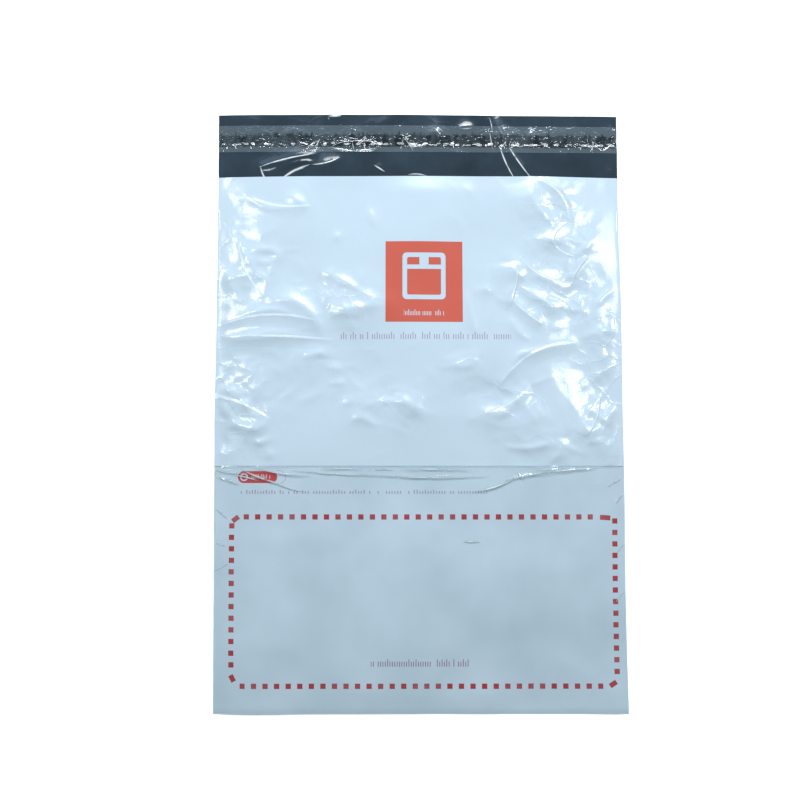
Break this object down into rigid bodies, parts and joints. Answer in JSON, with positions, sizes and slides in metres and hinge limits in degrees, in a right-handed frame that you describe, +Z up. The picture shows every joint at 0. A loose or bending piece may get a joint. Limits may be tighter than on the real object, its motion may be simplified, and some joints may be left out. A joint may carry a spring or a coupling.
{
  "type": "poly mailer bag",
  "caption": "Flat self-seal film mailer bag with side welds, an open flap, an adhesive strip under a release liner, and a clear document pocket on the front.",
  "frame": {"origin": "middle of the bag's outline with its flap open, on the surface that it lies on", "axes": "+X across the bag to the right as the front is read, +Y along it from the bottom fold towards the flap, +Z up out of the printed front panel"},
  "size_m": [0.28, 0.415, 0.0087],
  "materials": {
    "white_film": "glossy white outside, charcoal inside",
    "clear_film": "clear glossy film",
    "hot_melt": "wet-looking tacky glue",
    "liner_film": "clear siliconised film"
  },
  "bodies": {
    "root": {"mailer_film": "white_film", "document_pocket_film": "clear_film", "adhesive_strip": "hot_melt", "release_liner": "liner_film"}
  },
  "joints": []
}
